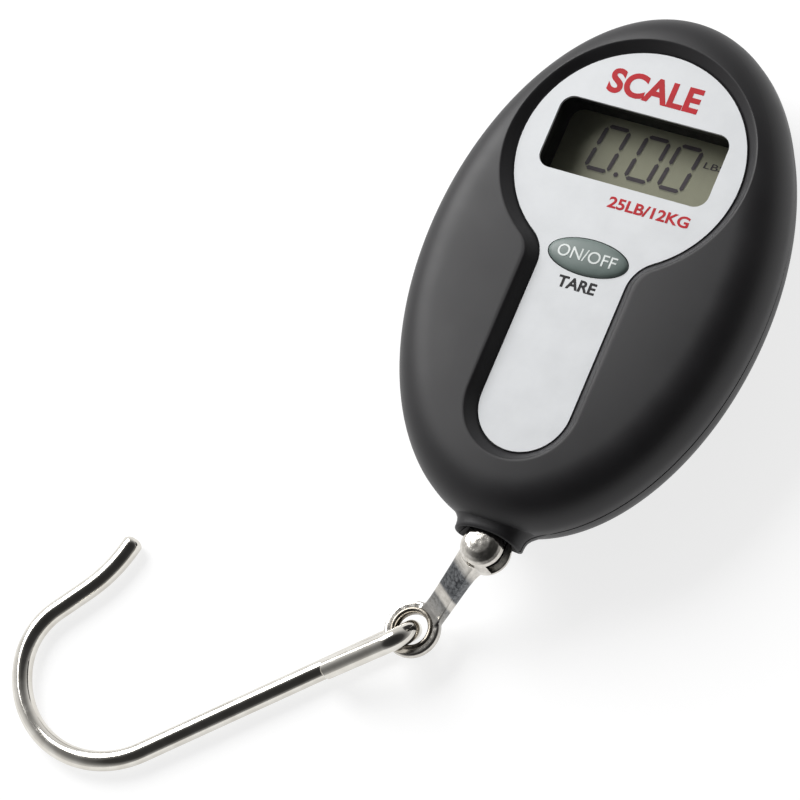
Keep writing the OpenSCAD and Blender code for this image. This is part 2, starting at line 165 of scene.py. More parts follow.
def settle(piece):
    """Takes the result of the piece's modifiers as its mesh."""
    graph = bpy.context.evaluated_depsgraph_get()
    made = bpy.data.meshes.new_from_object(piece.evaluated_get(graph))
    piece.modifiers.clear()
    piece.data = made
    return piece


def combine(piece, tool, how):
    """Joins a tool to a piece, or cuts the piece with it."""
    cut = piece.modifiers.new(how, "BOOLEAN")
    cut.operation, cut.object, cut.solver = how, tool, "EXACT"
    settle(piece)
    bpy.data.objects.remove(tool)
    return piece


def shade(piece, crease):
    """Smooth shading with sharp edges where the faces meet at more than the crease angle."""
    work = bmesh.new()
    work.from_mesh(piece.data)
    for face in work.faces:
        face.smooth = True
    for edge in work.edges:
        edge.smooth = not (len(edge.link_faces) == 2 and edge.calc_face_angle(0) > math.radians(crease))
    work.to_mesh(piece.data)
    work.free()
    return piece


def neck_centre():
    """The centre of the fillet between the label's head and its strip, on the right side."""
    x, low, high = STRIP_HALF + NECK_FILLET, -12.0, 5.0
    for _ in range(40):
        y = (low + high) / 2
        low, high = (y, high) if head_distance(x, y) > NECK_FILLET else (low, y)
    return Vector((x, y))


def head_distance(x, y):
    reach = math.hypot(x, y - HEAD_Y)
    share = math.hypot(x / HEAD_RX, (y - HEAD_Y) / HEAD_RY)
    return (share - 1) * reach / share if share else -HEAD_RY


NECK = neck_centre()


def label_distance(x, y):
    """How far a point lies outside the keyhole outline of the label."""
    x = abs(x)
    along = min(max(y, STRIP_END), HEAD_Y)
    nearest = min(head_distance(x, y), math.hypot(x, y - along) - STRIP_HALF)
    to_head = Vector((-NECK.x, HEAD_Y - NECK.y)).normalized()
    spot = Vector((x, y)) - NECK
    if to_head.y and spot.length > 0:
        share = spot.y / to_head.y
        if share >= 0 and share * to_head.x - spot.x >= 0:
            return NECK_FILLET - spot.length
    return nearest


def spine_of(angle):
    """The foot, on the body's long axis, of the oval's normal at an angle."""
    return Vector((0, (HALF_LENGTH ** 2 - HALF_WIDTH ** 2) / HALF_LENGTH * math.sin(angle)))


def oval(angle, inset=0.0):
    return Vector(((HALF_WIDTH - inset) * math.cos(angle), (HALF_LENGTH - inset) * math.sin(angle)))


def label_edge(angle, grow):
    """Where the line from the spine to the oval crosses the label's outline, grown."""
    near, far = spine_of(angle), oval(angle)
    for _ in range(34):
        middle = (near + far) / 2
        near, far = (middle, far) if label_distance(middle.x, middle.y) < grow else (near, middle)
    return near


RING_POINTS = 300
ANGLES = [2 * math.pi * k / RING_POINTS for k in range(RING_POINTS)]
BORDER, BORDER_RISE, FULLNESS = 7.2, 7.6, 2.6  # the rounded border: width, height and squareness
BORDER_END = 2.0                              # the rings follow the oval this far in
DOME, DOME_RISE = 18.0, 0.9                   # the shallow dome on top of it
POCKET_EDGE = 1.9                             # the bevel round the label is this wide
SHELL_RISE = 4.6                              # of the inside's rounding, above the part line
EASED_EDGE = (0.2, 0.05)                      # how far the edge over the groove is rounded off
CROWN_RINGS = 26


def front_height(inset):
    """The height of the front's skin at a distance in from the oval."""
    border = (1 - max(1 - inset / BORDER, 0) ** FULLNESS) ** (1 / FULLNESS)
    dome = 1 - (1 - min(inset / DOME, 1)) ** 2
    return SEAM_Z + BORDER_RISE * border + DOME_RISE * dome


def ring_at(inset, z):
    return [(*oval(a, inset), z) for a in ANGLES]


def crown_ring(share, grow=POCKET_EDGE):
    """A ring between the pocket's edge (0) and the start of the crown (1)."""
    ring = []
    for angle in ANGLES:
        spot = label_edge(angle, grow).lerp(oval(angle, BORDER_END), share)
        ring.append((spot.x, spot.y, front_height((oval(angle) - spot).length)))
    return ring


def pocket_ring(grow, share):
    """A ring on the pocket's wall: at the floor (0) or level with the skin (1)."""
    return [(x, y, POCKET_Z + (z - POCKET_Z) * share)
            for (x, y, _), (_, _, z) in zip(crown_ring(0, grow), crown_ring(0))]


def arc_turns(count, end):
    return [end * k / count for k in range(count + 1)]


inside = [ring_at(WALL + BORDER * (1 - math.cos(t)), SEAM_Z + SHELL_RISE * math.sin(t))
          for t in reversed(arc_turns(8, math.pi / 2))]
rim = [ring_at(LIP_INSET, SEAM_Z), ring_at(LIP_INSET, SEAM_Z + SHADOW_GAP),
       ring_at(EASED_EDGE[0], SEAM_Z + SHADOW_GAP), ring_at(EASED_EDGE[1], SEAM_Z + 2 * SHADOW_GAP)]
border = [ring_at(inset, front_height(inset)) for inset in
          (BORDER * (1 - math.cos(t)) for t in arc_turns(12, math.acos(1 - BORDER_END / BORDER))[3:])]
crown = [crown_ring(1 - k / CROWN_RINGS) for k in range(1, CROWN_RINGS + 1)]
# The bevel down to the label's pocket: (distance outside the label, share of the height).
POCKET_WALL = ((1.78, 0.985), (1.62, 0.93), (1.4, 0.83), (1.0, 0.61), (0.5, 0.34), (0.2, 0.18), (0.12, 0.0),
               (-0.4, 0.0))
bevel = [pocket_ring(grow, share) for grow, share in POCKET_WALL]
front = new_piece("front_shell", loft("front_shell", inside + rim + border + crown + bevel))

# The spout narrows out of the oval and ends in a rounded lip. (y, half width, half height, squareness)
SPOUT = ((-39.3, 10.2, 5.2, 2.0), (-40.1, 9.2, 5.3, 2.0), (-40.8, 8.1, 5.1, 2.0), (-41.4, 7.1, 4.8, 2.1),
         (-42.0, 6.3, 4.45, 2.2), (-42.6, 5.8, 4.2, 2.3), (-43.2, 5.58, 4.08, 2.4), (-43.8, 5.52, 4.02, 2.4),
         (-44.2, 5.52, 4.0, 2.4), (-44.4, 5.4, 3.9, 2.4), (-44.5, 5.15, 3.72, 2.4), (-41.0, 3.0, 2.0, 3.0))
PASSAGE = ((-47.0, 4.9, 3.5, 2.8), (-44.4, 4.4, 3.25, 2.8), (-43.6, 4.2, 3.1, 2.8), (-35.0, 4.2, 3.05, 2.8))
NOTCH = 0.7                                   # how much shorter the lip is at its front and back
NOTCH_START, NOTCH_RUN = -41.0, 2.6           # where along the spout that begins, and over what length
SPOUT_POINTS = 96
SPOUT_GAP = 0.4 * SHADOW_GAP                  # the groove narrows where it crosses the spout


def squarish(stations, z):
    """Rings in planes across the body, from circle-like to square-like by their exponent."""
    rings = []
    for y, half_x, half_z, square in stations:
        ring = []
        for k in range(SPOUT_POINTS):
            c, s = math.cos(2 * math.pi * k / SPOUT_POINTS), math.sin(2 * math.pi * k / SPOUT_POINTS)
            pull = NOTCH * s * s * min(max((NOTCH_START - y) / NOTCH_RUN, 0), 1)
            ring.append((math.copysign(abs(c) ** (2 / square), c) * half_x, y + pull,
                         z + math.copysign(abs(s) ** (2 / square), s) * half_z))
        rings.append(ring)
    return rings


def half_spout(name, side):
    """The part of the spout above (1) or below (-1) the part line."""
    mesh = loft(name, squarish(SPOUT, SPOUT_Z))
    work = bmesh.new()
    work.from_mesh(mesh)
    plane = (0, 0, (SEAM_Z + side * SPOUT_GAP) * MM)
    cut = bmesh.ops.bisect_plane(work, geom=work.verts[:] + work.edges[:] + work.faces[:], plane_co=plane,
                                 plane_no=(0, 0, -side), clear_outer=True)
    rim_edges = [e for e in cut["geom_cut"] if isinstance(e, bmesh.types.BMEdge)]
    bmesh.ops.edgeloop_fill(work, edges=rim_edges)
    bmesh.ops.recalc_face_normals(work, faces=work.faces)
    work.to_mesh(mesh)
    work.free()
    return new_piece(name, mesh)


def prism(name, outline, low, high):
    return new_piece(name, loft(name, [[(x, y, z) for x, y in outline] for z in (low, high)]))


def rounded(width, height, corner, centre=(0, 0), steps=12):
    """The outline of a rectangle with round corners."""
    outline = []
    for k in range(4 * (steps + 1)):
        quarter, step = divmod(k, steps + 1)
        turn = math.pi / 2 * (quarter + step / steps)
        sx, sy = (1, -1, -1, 1)[quarter], (1, 1, -1, -1)[quarter]
        outline.append((centre[0] + sx * (width / 2 - corner) + corner * math.cos(turn),
                        centre[1] + sy * (height / 2 - corner) + corner * math.sin(turn)))
    return outline


def ellipse(half_x, half_y, centre=(0, 0), count=96):
    return [(centre[0] + half_x * math.cos(2 * math.pi * k / count),
             centre[1] + half_y * math.sin(2 * math.pi * k / count)) for k in range(count)]


def passage():
    return new_piece("passage", loft("passage", squarish(PASSAGE, SPOUT_Z)))


WINDOW, WINDOW_Y = (28.9, 12.2, 2.2), 18.9    # width, height and corner radius
BUTTON_HALF, BUTTON_Y = (6.7, 2.85), 0.6
WINDOW_PLAY, BUTTON_PLAY = 0.2, 0.25          # the gap all round
CUT_LOW, CUT_HIGH = 10, 25                    # heights that pass clean through the front's wall
combine(front, half_spout("spout_front", 1), "UNION")
combine(front, passage(), "DIFFERENCE")
for opening in (rounded(WINDOW[0] + 2 * WINDOW_PLAY, WINDOW[1] + 2 * WINDOW_PLAY, WINDOW[2], (0, WINDOW_Y)),
                ellipse(BUTTON_HALF[0] + BUTTON_PLAY, BUTTON_HALF[1] + BUTTON_PLAY, (0, BUTTON_Y))):
    combine(front, prism("opening", opening, CUT_LOW, CUT_HIGH), "DIFFERENCE")
shade(front, 38)

# Soft-touch paint over ABS: near black, low gloss, with a broad soft sheen and a barely visible grain.
soft_touch, tree, shader, where = finish_of("soft_touch_abs", "1f1e20", 0.46, Specular_IOR_Level=0.36)
vary(tree, shader, where, ("1e1d1f", "232224"), 9.0, (0.42, 0.5))
grain(tree, shader, where, 0.28, 0.012, 0.35)
coat(front, soft_touch)
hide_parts("front_cover")
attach(front, "body")

# ---- rear cover ----
# The back half of the body, the same painted ABS. It is a plain domed tray with a flat to lie on,
# a round well for the coin cell and its bayonet door, and five deep holes for the case screws.

BACK_INSET, BACK_ROUND, FLOOR_RISE = 0.4, 14.0, 10.0
DOOR_Y = 12.0
CASE_SCREWS = ((0, 36), (-21.5, 4), (21.5, 4), (-17, -22), (17, -22))
INSIDE_ROUND, TRAY_TOP = 13.0, SEAM_Z - 0.02  # of the tray's inside
LIP_PLAY = 0.3                                # from the front's lip to the rear's
BOSS = (3.0, 1, 10.8)                         # radius, low and high end
COUNTERBORE, PILOT = (2.5, -1, 4.42), (1.3, 3, 12.5)
WELL_WALL = (12.3, 1, 6.6)
DOOR_HOLE, BAYONET_GROOVE, CELL_WELL = (11.6, -1, 1.62), (12.6, 0.95, 1.65), (10.35, 1, 9)
SKIN = 0.5                                    # the bosses end this far inside the back's skin


def round_tool(x, y, radius, low, high, count):
    return prism("tool", ellipse(radius, radius, (x, y), count), low, high)


outer = [ring_at(BACK_INSET + BACK_ROUND * (1 - math.cos(t)), SEAM_Z * (1 - math.sin(t)))
         for t in reversed(arc_turns(24, math.pi / 2))][:-2]
edge = [ring_at(BACK_INSET + 0.02, SEAM_Z - SHADOW_GAP - 0.1),
        ring_at(BACK_INSET + EASED_EDGE[0], SEAM_Z - SHADOW_GAP),
        ring_at(LIP_INSET + LIP_PLAY, SEAM_Z - SHADOW_GAP), ring_at(LIP_INSET + LIP_PLAY, TRAY_TOP)]
tray = [ring_at(BACK_INSET + WALL + INSIDE_ROUND * (1 - math.cos(t)), TRAY_TOP - FLOOR_RISE * math.sin(t))
        for t in arc_turns(10, math.pi / 2)]
rear = new_piece("rear_shell", loft("rear_shell", outer + edge + tray))
combine(rear, half_spout("spout_rear", -1), "UNION")
combine(rear, round_tool(0, DOOR_Y, *WELL_WALL, 120), "UNION")
bosses = round_tool(*CASE_SCREWS[0], *BOSS, 48)
for x, y in CASE_SCREWS[1:]:
    combine(bosses, round_tool(x, y, *BOSS, 48), "UNION")
inner_skin = [ring_at(BACK_INSET + SKIN + BACK_ROUND * (1 - math.cos(t)),
                      SKIN + (SEAM_Z - SKIN) * (1 - math.sin(t)))
              for t in reversed(arc_turns(20, math.pi / 2))]
whole = new_piece("whole", loft("whole", inner_skin))
combine(bosses, whole, "INTERSECT")
combine(rear, bosses, "UNION")
combine(rear, passage(), "DIFFERENCE")
for hole, count in ((DOOR_HOLE, 144), (BAYONET_GROOVE, 144), (CELL_WELL, 120)):
    combine(rear, round_tool(0, DOOR_Y, *hole, count), "DIFFERENCE")
for x, y in CASE_SCREWS:
    combine(rear, round_tool(x, y, *COUNTERBORE, 64), "DIFFERENCE")
    combine(rear, round_tool(x, y, *PILOT, 32), "DIFFERENCE")
shade(rear, 30)
coat(rear, soft_touch)
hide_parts("rear_cover")
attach(rear, "body")

# ---- battery door ----
# A round door of bare black ABS that turns by 45 degrees on two bayonet tabs. A coin slot and a
# ring of moulded grip ribs round its rim open it.

DOOR_R, DOOR_T = 11.45, 1.6
TAB_R, TAB_ROOT, TAB_HALF_TURN, TAB_Z = 12.4, 9, 12, (1.0, 1.58)
COIN_SLOT, COIN_SLOT_DEPTH = (14, 1.8, 0.85), 0.95
RIBS, RIB_RIM, RIB_SIZE, RIB_Z = 60, 10.3, (1.3, 0.34, 0.36), 0.21
# The door's outline from its face inwards: (radius, height). The ribs stand in the step near its edge.
DOOR_PROFILE = ((9.2, 0.0), (9.35, 0.06), (9.45, 0.35), (11.25, 0.35), (11.4, 0.42), (DOOR_R, 0.55),
                (DOOR_R, 1.55), (11.4, DOOR_T), (8.0, DOOR_T), (8.0, 2.15))


def rib_tree():
    """Copies of a rib round a circle, with sizes as named inputs."""
    tree = bpy.data.node_groups.new("ribs_round_a_rim", "GeometryNodeTree")
    face = tree.interface
    face.new_socket("Geometry", in_out="INPUT", socket_type="NodeSocketGeometry")
    sockets = {}
    for name, kind in (("Count", "Int"), ("Rim radius", "Float"), ("Rib size", "Vector"),
                       ("Material", "Material")):
        sockets[name] = face.new_socket(name, in_out="INPUT", socket_type="NodeSocket" + kind).identifier
    face.new_socket("Geometry", in_out="OUTPUT", socket_type="NodeSocketGeometry")
    given = add(tree, "NodeGroupInput")
    circle = add(tree, "GeometryNodeMeshCircle",
                 {"Vertices": given.outputs["Count"], "Radius": given.outputs["Rim radius"]})
    bar = add(tree, "GeometryNodeMeshCube", {"Size": given.outputs["Rib size"]})
    bar.inputs["Vertices X"].default_value = 3
    place = add(tree, "GeometryNodeInputPosition")
    turn = add(tree, "FunctionNodeAlignRotationToVector", {"Vector": place.outputs[0]}, axis="X")
    ribs = add(tree, "GeometryNodeInstanceOnPoints",
               {"Points": circle.outputs[0], "Instance": bar.outputs["Mesh"], "Rotation": turn.outputs[0]})
    real = add(tree, "GeometryNodeRealizeInstances", {"Geometry": ribs.outputs[0]})
    paint = add(tree, "GeometryNodeSetMaterial",
                {"Geometry": real.outputs[0], "Material": given.outputs["Material"]})
    add(tree, "NodeGroupOutput", {"Geometry": paint.outputs[0]})
    return tree, sockets


# Bare moulded ABS, spark eroded: black with a fine even texture of about 0.3 mm and a dull sheen.
bare_abs, tree, shader, where = finish_of("spark_textured_abs", "1e1d1e", 0.5)
vary(tree, shader, where, ("1b1a1b", "222122"), 6.0, (0.44, 0.56))
grain(tree, shader, where, 0.3, 0.03, 0.6)

door_rings = [[(x, y, z) for x, y in ellipse(r, r, (0, DOOR_Y), 144)] for r, z in DOOR_PROFILE]
door = new_piece("bayonet_door", loft("bayonet_door", door_rings))
for side in (0, math.pi):
    fan = [(TAB_R * math.cos(side + a), DOOR_Y + TAB_R * math.sin(side + a))
           for a in (math.radians(-TAB_HALF_TURN + 2 * k) for k in range(TAB_HALF_TURN + 1))]
    fan += [(TAB_ROOT * math.cos(side + a), DOOR_Y + TAB_ROOT * math.sin(side + a))
            for a in (math.radians(TAB_HALF_TURN), math.radians(-TAB_HALF_TURN))]
    combine(door, prism("tab", fan, *TAB_Z), "UNION")
combine(door, prism("slot", rounded(*COIN_SLOT, (0, DOOR_Y)), -1, COIN_SLOT_DEPTH), "DIFFERENCE")
shade(door, 30)
tree, sockets = rib_tree()
ribs = new_piece("grip_ribs", bpy.data.meshes.new("grip_ribs"))
modifier = ribs.modifiers.new("ribs", "NODES")
modifier.node_group = tree
modifier[sockets["Count"]] = RIBS
modifier[sockets["Rim radius"]] = RIB_RIM * MM
modifier[sockets["Rib size"]] = [side * MM for side in RIB_SIZE]
modifier[sockets["Material"]] = bare_abs
settle(ribs)
for vertex in ribs.data.vertices:
    vertex.co += Vector((0, DOOR_Y * MM, RIB_Z * MM))
for piece in (door, ribs):
    coat(piece, bare_abs)
    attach(piece, "door")
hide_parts("battery_door")

# ---- label ----
# A keyhole-shaped sheet of printed polyester, satin silver, glued into the pocket. The words are
# screen printed on it: what the thing is, its range, and the second job of the button.

# Satin silver film: nearly white, a soft sheen and a very fine flake that shows as faint cloudiness.
silver_film, tree, shader, where = finish_of("satin_silver_film", "d3d5d7", 0.45, Metallic=0.1)
vary(tree, shader, where, ("d0d2d4", "d7d9db"), 5.0, (0.38, 0.46))
grain(tree, shader, where, 0.12, 0.002, 0.25)
red_ink, tree, shader, where = finish_of("red_screen_ink", "c01a26", 0.5, Specular_IOR_Level=0.2)
vary(tree, shader, where, ("ba1722", "c61e2a"), 1.5, (0.4, 0.5))
black_ink, tree, shader, where = finish_of("black_screen_ink", "1c1b1d", 0.5, Specular_IOR_Level=0.2)
vary(tree, shader, where, ("1a191b", "232224"), 1.5, (0.4, 0.5))
INK, CRYSTAL_INK = 0.03, 0.02                 # thickness on the label and on the glass


def lettering(name, words, centre, width, cap, z, material, weight, lean=0.0, thickness=INK):
    """Printed words as a thin raised mesh, fitted to a width and a height in millimetres."""
    type_face = bpy.data.curves.new(name, "FONT")
    type_face.body, type_face.extrude, type_face.offset = words, 0.01, weight
    type_face.align_x, type_face.resolution_u = "CENTER", 6
    print_ = new_piece(name, type_face)
    settled = bpy.data.meshes.new_from_object(print_.evaluated_get(bpy.context.evaluated_depsgraph_get()))
    bpy.data.objects.remove(print_)
    low = [min(v.co[i] for v in settled.vertices) for i in range(3)]
    high = [max(v.co[i] for v in settled.vertices) for i in range(3)]
    for v in settled.vertices:
        share = [(v.co[i] - low[i]) / (high[i] - low[i]) for i in range(3)]
        v.co = Vector((centre[0] + (share[0] - 0.5) * width + (share[1] - 0.5) * cap * lean,
                       centre[1] + (share[1] - 0.5) * cap, z + share[2] * thickness)) * MM
    clean(settled, 2 * MERGE)
    return new_piece(name, settled, material)


for name, words, centre, width, cap, weight, ink in (
        ("print_top", "SCALE", (-0.6, 29.1), 15.6, 4.2, 0.035, red_ink),
        ("print_range", "25LB/12KG", (6.3, 10.1), 13.7, 1.87, 0.028, red_ink),
        ("print_tare", "TARE", (0.0, -4.0), 6.4, 1.9, 0.03, black_ink)):
    words_piece = lettering(name, words, centre, width, cap, LABEL_Z, ink, weight)
    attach(words_piece, "body")
coat(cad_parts["face_label"], silver_film)

# ---- display ----
# A reflective liquid crystal panel at the bottom of a black holder, under a clear acrylic lens.
# The lit segments are dark and throw a faint shadow on the reflector just under the glass.

GLASS_Z = 12.6
DIGITS = ((-6.98, 20.15), (-0.12, 20.15), (5.53, 20.15))
DIGIT_W, DIGIT_H, SEGMENT, SEGMENT_GAP, POINT_R = 3.8, 7.3, 0.66, 0.2, 0.42
SLANT = math.tan(math.radians(8))


def bar_outline(start, end, width):
    """A segment with pointed ends, between two corners of a digit."""
    start, end = Vector(start), Vector(end)
    way = (end - start).normalized()
    side = Vector((-way.y, way.x)) * width / 2
    start, end = start + way * SEGMENT_GAP, end - way * SEGMENT_GAP
    tip = way * width / 2
    return [start, start + tip + side, end - tip + side, end, end - tip - side, start + tip - side]


def segments(name, z, thickness, shift, material):
    """The digits 0.00 as six segments each, and the point."""
    points, faces = [], []
    w, h = DIGIT_W / 2, DIGIT_H / 2
    corners = (((-w, h), (w, h)), ((w, h), (w, 0)), ((w, 0), (w, -h)), ((w, -h), (-w, -h)),
               ((-w, -h), (-w, 0)), ((-w, 0), (-w, h)))
    outlines = [[Vector((cx + p.x + p.y * SLANT, cy + p.y)) for p in bar_outline(a, b, SEGMENT)]
                for cx, cy in DIGITS for a, b in corners]
    dot = Vector(((DIGITS[0][0] + DIGITS[1][0]) / 2 - h * SLANT, DIGITS[0][1] - h))
    outlines.append([dot + POINT_R * Vector((math.cos(a), math.sin(a)))
                     for a in (math.radians(15 + 60 * k) for k in range(6))])
    for outline in outlines:
        base = len(points)
        for level in (z, z + thickness):
            points += [(p.x + shift[0], p.y + shift[1], level) for p in outline]
        faces += [tuple(base + k for k in reversed(range(6))), tuple(base + 6 + k for k in range(6))]
        faces += [(base + k, base + (k + 1) % 6, base + 6 + (k + 1) % 6, base + 6 + k) for k in range(6)]
    return new_piece(name, mesh_of(name, points, faces), material)


# Reflector behind the crystal: grey green, matt, with a faint silvery grain.
reflector, tree, shader, where = finish_of("display_reflector", "9d9d86", 0.5, Specular_IOR_Level=0.3)
vary(tree, shader, where, ("999982", "a1a18a"), 4.0, (0.45, 0.6))
# The dark state of the crystal, and the faint shadow that it throws on the reflector.
crystal_dark, tree, shader, where = finish_of("crystal_dark", "474046", 0.5, Specular_IOR_Level=0.2)
vary(tree, shader, where, ("453f44", "4d464c"), 2.0, (0.45, 0.55))
crystal_shadow, tree, shader, where = finish_of("crystal_shadow", "86866f", 0.6)
vary(tree, shader, where, ("848470", "8a8a75"), 2.0, (0.55, 0.65))
DARK_Z, SHADOW_Z, SHADOW_SHIFT = GLASS_Z + 0.05, GLASS_Z + 0.005, (0.12, -0.22)
UNIT_CENTRE, UNIT_WIDTH, UNIT_CAP = (10.7, 21.75), 3.4, 1.05
for piece in (segments("digits", DARK_Z, CRYSTAL_INK, (0, 0), crystal_dark),
              segments("digit_shadow", SHADOW_Z, CRYSTAL_INK, SHADOW_SHIFT, crystal_shadow),
              lettering("unit_sign", "LBS", UNIT_CENTRE, UNIT_WIDTH, UNIT_CAP, DARK_Z, crystal_dark,
                        0.0, SLANT, CRYSTAL_INK)):
    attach(piece, "body")

# ---- button ----
# An oval cap of grey green silicone rubber, slightly domed, with the words printed in white.
# Its stem stands on the plunger of the switch, and a flange under the cover keeps it in.

# The cap's skin: (share of the oval, height).
CAP = ((1.0, 16.6), (1.0, 18.75), (0.985, 18.95), (0.955, 19.1), (0.9, 19.22), (0.8, 19.33), (0.65, 19.43),
       (0.45, 19.51), (0.22, 19.55), (0.03, 19.56))
FLANGE, FLANGE_Z = 1.2, (15.4, 16.55)
STEM_R, STEM_TOP = 1.7, 15.6


def cap_height(x, y):
    """The cap's top over a place."""
    share = math.hypot(x / BUTTON_HALF[0], (y - BUTTON_Y) / BUTTON_HALF[1])
    for (outer_share, low), (inner_share, high) in zip(CAP[1:], CAP[2:]):
        if inner_share <= share <= outer_share:
            return low + (high - low) * (outer_share - share) / (outer_share - inner_share)
    return CAP[-1][1]


def cap_ring(share, extra, z):
    half_x, half_y = (half * share + extra for half in BUTTON_HALF)
    return [(x, y, z) for x, y in ellipse(half_x, half_y, (0, BUTTON_Y), 120)]


cap_rings = [cap_ring(0.3, 0, FLANGE_Z[0]), cap_ring(1.0, FLANGE, FLANGE_Z[0]),
             cap_ring(1.0, FLANGE, FLANGE_Z[1]), cap_ring(1.0, 0, CAP[0][1])]
cap_rings += [cap_ring(share, 0, z) for share, z in CAP]
cap = new_piece("button_cap", loft("button_cap", cap_rings))
stem_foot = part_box("switch_plunger")[1].z / MM
combine(cap, prism("stem", ellipse(STEM_R, STEM_R, (0, BUTTON_Y), 48), stem_foot, STEM_TOP), "UNION")
shade(cap, 40)
# Silicone rubber: grey green, soft, with a dull sheen and a skin a little smoother than its core.
silicone, tree, shader, where = finish_of("grey_green_silicone", "6f7c78", 0.45)
vary(tree, shader, where, ("6b7874", "74817d"), 2.5, (0.4, 0.52))
grain(tree, shader, where, 0.2, 0.008, 0.4)
coat(cap, silicone)
white_ink, tree, shader, where = finish_of("white_pad_ink", "e6ecea", 0.5)
vary(tree, shader, where, ("e0e7e4", "edf1ef"), 1.0, (0.45, 0.55))
words_piece = lettering("print_button", "ON/OFF", (0, BUTTON_Y), 9.9, 1.95, 0, white_ink, 0.005)
for vertex in words_piece.data.vertices:
    vertex.co.z += (cap_height(vertex.co.x / MM, vertex.co.y / MM) + 0.015) * MM
for piece in (cap, words_piece):
    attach(piece, "button")
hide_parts("button")

# ---- link ----
# A small cold-forged steel link, nickel plated: a domed drum head that takes the load cell's
# tongue in a slot, a flat arm that slopes down, and a flat ring at its lower end.

PIN_Y, LINK_TURN, LINK_LENGTH = -45.6, math.radians(-34.5), 16.5
RING_Z, RING_HOLE = 4.4, 2.95
SLOT_Z, SLOT_R, SLOT_SIDE = (10.9, 13.5), 2.7, 1.4
# The head and the ring are turned outlines: (radius, height).
HEAD = ((0.5, 15.1), (1.7, 15.04), (2.4, 14.86), (2.95, 14.5), (3.35, 13.95), (3.58, 13.2), (3.7, 12.3),
        (3.7, 10.6), (3.6, 10.1), (3.35, 9.7), (2.95, 9.42), (2.5, 9.3))
RING = ((RING_HOLE, 5.1), (4.15, 5.1), (4.36, 5.02), (4.48, 4.82), (4.5, 4.6), (4.5, 4.2), (4.48, 3.98),
        (4.36, 3.78), (4.15, 3.7), (RING_HOLE, 3.7))
# The arm's sections: (way along, height of the middle, width, thickness, corner radius).
ARM = ((-1.4, 11.9, 4.6, 4.2, 1.2), (-3.0, 11.5, 4.5, 3.9, 1.1), (-4.2, 10.8, 4.15, 3.3, 0.7),
       (-5.4, 9.9, 4.0, 2.8, 0.45), (-7.4, 8.35, 3.95, 2.5, 0.35), (-9.4, 6.8, 3.95, 2.2, 0.32),
       (-11.2, 5.45, 4.0, 1.85, 0.32), (-12.4, 4.65, 4.2, 1.55, 0.32), (-13.4, 4.42, 4.5, 1.4, 0.3),
       (-14.4, 4.4, 4.6, 1.4, 0.3))
LINK_PLACE = Matrix.Translation((0, PIN_Y * MM, 0)) @ Matrix.Rotation(LINK_TURN, 4, "Z")


def turned(name, profile, centre, count=96, closed=False):
    rings = [[(x, y, z) for x, y in ellipse(r, r, centre, count)] for r, z in profile]
    return new_piece(name, loft(name, rings, closed=closed))


link = turned("plated_link", HEAD, (0, 0))
arm = [[(x, y, z + mid) for x, z in rounded(w, t, corner, (0, 0), 5)] for y, mid, w, t, corner in ARM]
combine(link, new_piece("arm", loft("arm", arm)), "UNION")
combine(link, turned("ring", RING, (0, -LINK_LENGTH)), "UNION")
skin = link.modifiers.new("even skin", "REMESH")
skin.mode, skin.voxel_size = "VOXEL", 0.11 * MM      # fine enough for the ring's thin edge
soften = link.modifiers.new("soften", "SMOOTH")
soften.factor, soften.iterations = 0.5, 7
settle(link)
combine(link, turned("bore", ((RING_HOLE, 2.0), (RING_HOLE, 7.0)), (0, -LINK_LENGTH)), "DIFFERENCE")
for outline in (ellipse(SLOT_R, SLOT_R, (0, 0), 64), [(-9, -SLOT_SIDE), (9, -SLOT_SIDE), (9, 8), (-9, 8)]):
    combine(link, prism("slot", outline, *SLOT_Z), "DIFFERENCE")
shade(link, 40)
link.data.transform(LINK_PLACE)
# Nickel over a forged surface: a warm mirror with fine pits and a faint haze between them. Along the arm
# a painted dark reflection, speckled like its pits, covers the plate, apart from a bare band half way along
# it as a painted highlight.
forged_nickel, tree, shader, where = finish_of("nickel_on_forging", "cfcbc4", 0.14, Metallic=1.0)
vary(tree, shader, where, ("c4c0b9", "dad6cf"), 0.8, (0.10, 0.22))
grain(tree, shader, where, 0.35, 0.015, 0.4, 3.0)
along = add(tree, "ShaderNodeVectorMath", {0: where}, {1: (math.sin(LINK_TURN), -math.cos(LINK_TURN), 0)},
            operation="DOT_PRODUCT")
ARM_START, ARM_SPAN = -PIN_Y * math.cos(LINK_TURN), 20.0
reach = add(tree, "ShaderNodeMapRange", {"Value": along.outputs["Value"]},
            {"From Min": ARM_START * MM, "From Max": (ARM_START + ARM_SPAN) * MM})
# Painted reflection: where this ramp is 1 the arm is painted dark and speckled, as the dark room it mirrors;
# the bare band half way is a painted highlight.
dark_reflection_zone = add(tree, "ShaderNodeValToRGB", {"Fac": reach.outputs["Result"]})
stops = dark_reflection_zone.color_ramp.elements
stops[0].color = stops[-1].color = (0, 0, 0, 1)
for position, grey in ((0.2, 0.0), (0.26, 1.0), (0.43, 1.0), (0.45, 0.0), (0.5, 0.0), (0.52, 0.8),
                       (0.62, 0.5), (0.7, 0.0)):
    stops.new(position).color = (grey, grey, grey, 1)
specks = add(tree, "ShaderNodeTexNoise", {"Vector": where},
             {"Scale": 1 / (0.55 * MM), "Detail": 5.0, "Roughness": 0.7})
speck = add(tree, "ShaderNodeMapRange", {"Value": specks.outputs["Fac"]},
            {"From Min": 0.35, "From Max": 0.62})
dark = add(tree, "ShaderNodeMix", {"Factor": speck.outputs["Result"]}, data_type="RGBA")
dark.inputs["A"].default_value, dark.inputs["B"].default_value = linear("2c2e31"), linear("77797b")
plate = shader.inputs["Base Color"].links[0].from_socket
face = add(tree, "ShaderNodeMix",
           {"Factor": dark_reflection_zone.outputs["Color"], "A": plate, "B": dark.outputs["Result"]}, data_type="RGBA")
tree.links.new(face.outputs["Result"], shader.inputs["Base Color"])
coat(link, forged_nickel)
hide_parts("link")
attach(link, "link")

# ---- eyelet ----
# A short steel tube rolled over both faces of the ring, so that the hook turns in it smoothly.

